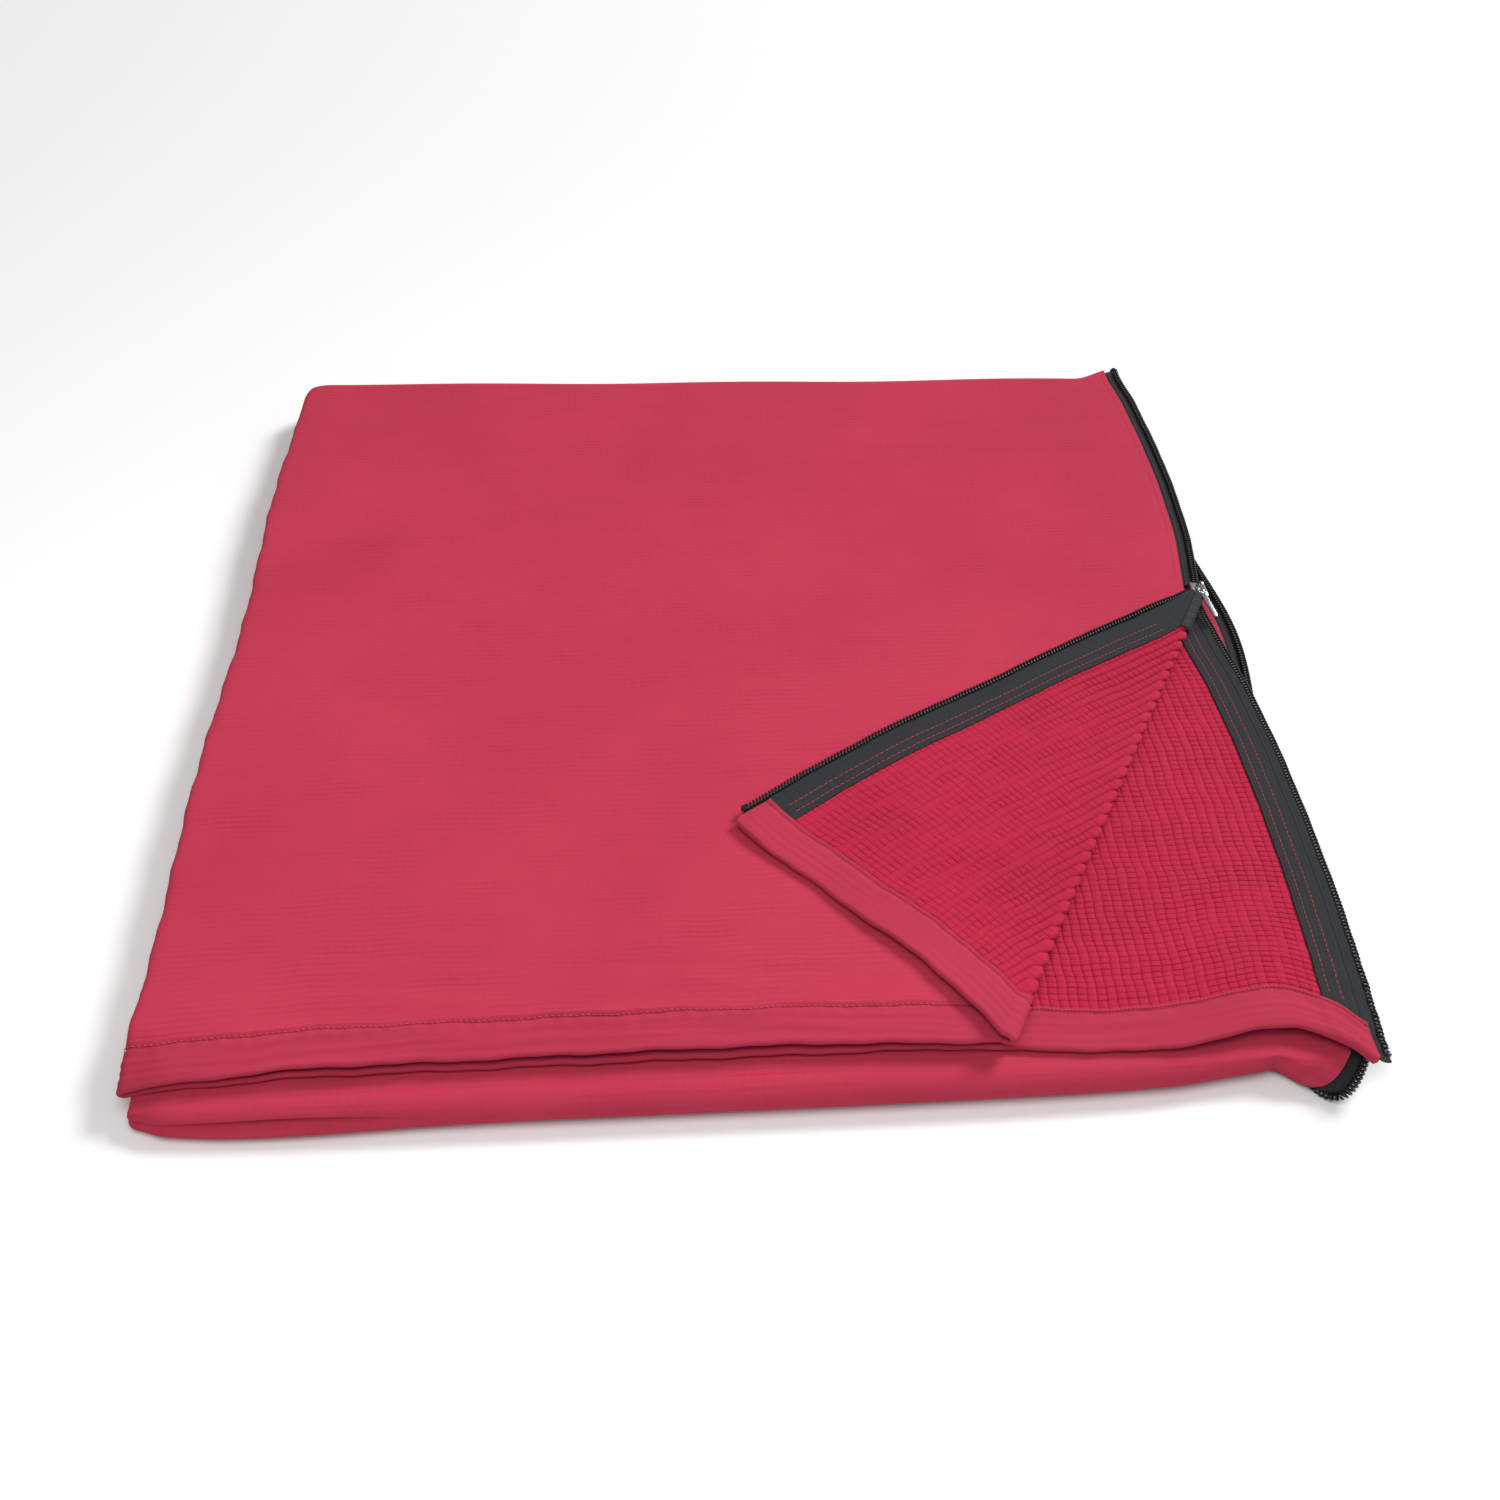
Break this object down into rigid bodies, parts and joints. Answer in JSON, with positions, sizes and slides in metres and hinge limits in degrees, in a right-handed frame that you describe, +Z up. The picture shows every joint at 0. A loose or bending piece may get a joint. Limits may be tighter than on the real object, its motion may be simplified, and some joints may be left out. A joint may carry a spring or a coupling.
{
  "type": "sauna blanket liner bag",
  "caption": "Zip-up grid-fleece liner bag for an infrared sauna blanket, folded in thirds, with one corner turned back at the open zipper.",
  "frame": {"origin": "the floor point under the middle of the folded bundle", "axes": "+Z up, +X towards the zipper side, -Y towards the open head end"},
  "size_m": [0.71, 0.701, 0.0369],
  "materials": {
    "outer_cloth": "matt brushed jersey, crimson",
    "grid_fleece": "matt raised grid fleece, crimson",
    "hem_cloth": "matt turned hem, crimson",
    "zipper_tape": "matt herringbone tape, near black",
    "zipper_coil": "satin nylon coil, black",
    "zipper_metal": "bright nickel plate",
    "thread": "spun polyester thread, crimson pink"
  },
  "bodies": {
    "lower_layer": {"back_panel_lower": "outer_cloth", "front_panel_lower": "outer_cloth", "side_fold_lower": "outer_cloth", "foot_seam": "grid_fleece", "back_tape_lower": "zipper_tape", "front_tape_lower": "zipper_tape", "back_coil_lower": "zipper_coil", "front_coil_lower": "zipper_coil", "bottom_stop": "zipper_metal", "front_fold_outer": "outer_cloth", "front_fold_inner": "outer_cloth", "front_fold_side": "outer_cloth", "front_fold_tapes": "zipper_tape", "front_fold_coils": "zipper_coil"},
    "middle_layer": {"back_panel_middle": "outer_cloth", "front_panel_middle": "outer_cloth", "side_fold_middle": "outer_cloth", "back_tape_middle": "zipper_tape", "front_tape_middle": "zipper_tape", "back_coil_middle": "zipper_coil", "front_coil_middle": "zipper_coil", "back_fold_outer": "outer_cloth", "back_fold_inner": "outer_cloth", "back_fold_side": "outer_cloth", "back_fold_tapes": "zipper_tape", "back_fold_coils": "zipper_coil"},
    "upper_layer": {"back_panel_upper": "grid_fleece", "front_panel_upper": "outer_cloth", "side_fold_upper": "outer_cloth", "back_hem": "hem_cloth", "front_hem": "hem_cloth", "back_tape_upper": "zipper_tape", "front_tape_upper": "zipper_tape", "back_coil_upper": "zipper_coil", "front_coil_upper": "zipper_coil", "back_top_stop": "zipper_metal", "front_hem_stitching": "thread", "back_hem_stitching": "thread", "front_tape_stitching": "thread", "back_tape_stitching": "thread"},
    "corner_flap": {"flap_panel": "grid_fleece", "flap_hem": "hem_cloth", "flap_tape": "zipper_tape", "flap_coil": "zipper_coil", "flap_top_stop": "zipper_metal", "flap_stitching": "thread"},
    "slider": {"slider_body": "zipper_metal", "slider_bridge": "zipper_metal"},
    "pull_ring": {"pull_ring": "zipper_metal"},
    "pull_tab": {"pull_tab": "zipper_metal"}
  },
  "joints": [
    {"name": "front_fold_open", "type": "hinge", "parent": "lower_layer", "child": "middle_layer", "pos_m": [0, -0.343, 0.0105], "axis": [1, 0, 0], "range_deg": [0, 179.9], "deforming": ["front_fold_outer", "front_fold_inner", "front_fold_side", "front_fold_tapes", "front_fold_coils"]},
    {"name": "back_fold_open", "type": "hinge", "parent": "middle_layer", "child": "upper_layer", "pos_m": [0, 0.343, 0.0215], "axis": [-1, 0, 0], "range_deg": [0, 179.9], "deforming": ["back_fold_outer", "back_fold_inner", "back_fold_side", "back_fold_tapes", "back_fold_coils"]},
    {"name": "corner_turn", "type": "hinge", "parent": "upper_layer", "child": "corner_flap", "pos_m": [0.347, 0.05, 0.03225], "axis": [0.4848, 0.8746, 0], "range_deg": [0, 179.9]},
    {"name": "slider_travel", "type": "slide", "parent": "upper_layer", "child": "slider", "axis": [0, -1, 0], "range_m": [-0.28, 0.375]},
    {"name": "ring_swing", "type": "hinge", "parent": "slider", "child": "pull_ring", "pos_m": [0.3522, 0.05, 0.027], "axis": [0, 0, 1], "range_deg": [0, 120]},
    {"name": "tab_swing", "type": "hinge", "parent": "pull_ring", "child": "pull_tab", "pos_m": [0.3522, 0.043, 0.027], "axis": [0, 0, 1], "range_deg": [0, 60]}
  ],
  "couplings": [
    {"joint": "back_fold_open", "follows": "front_fold_open", "ratio": 1}
  ]
}
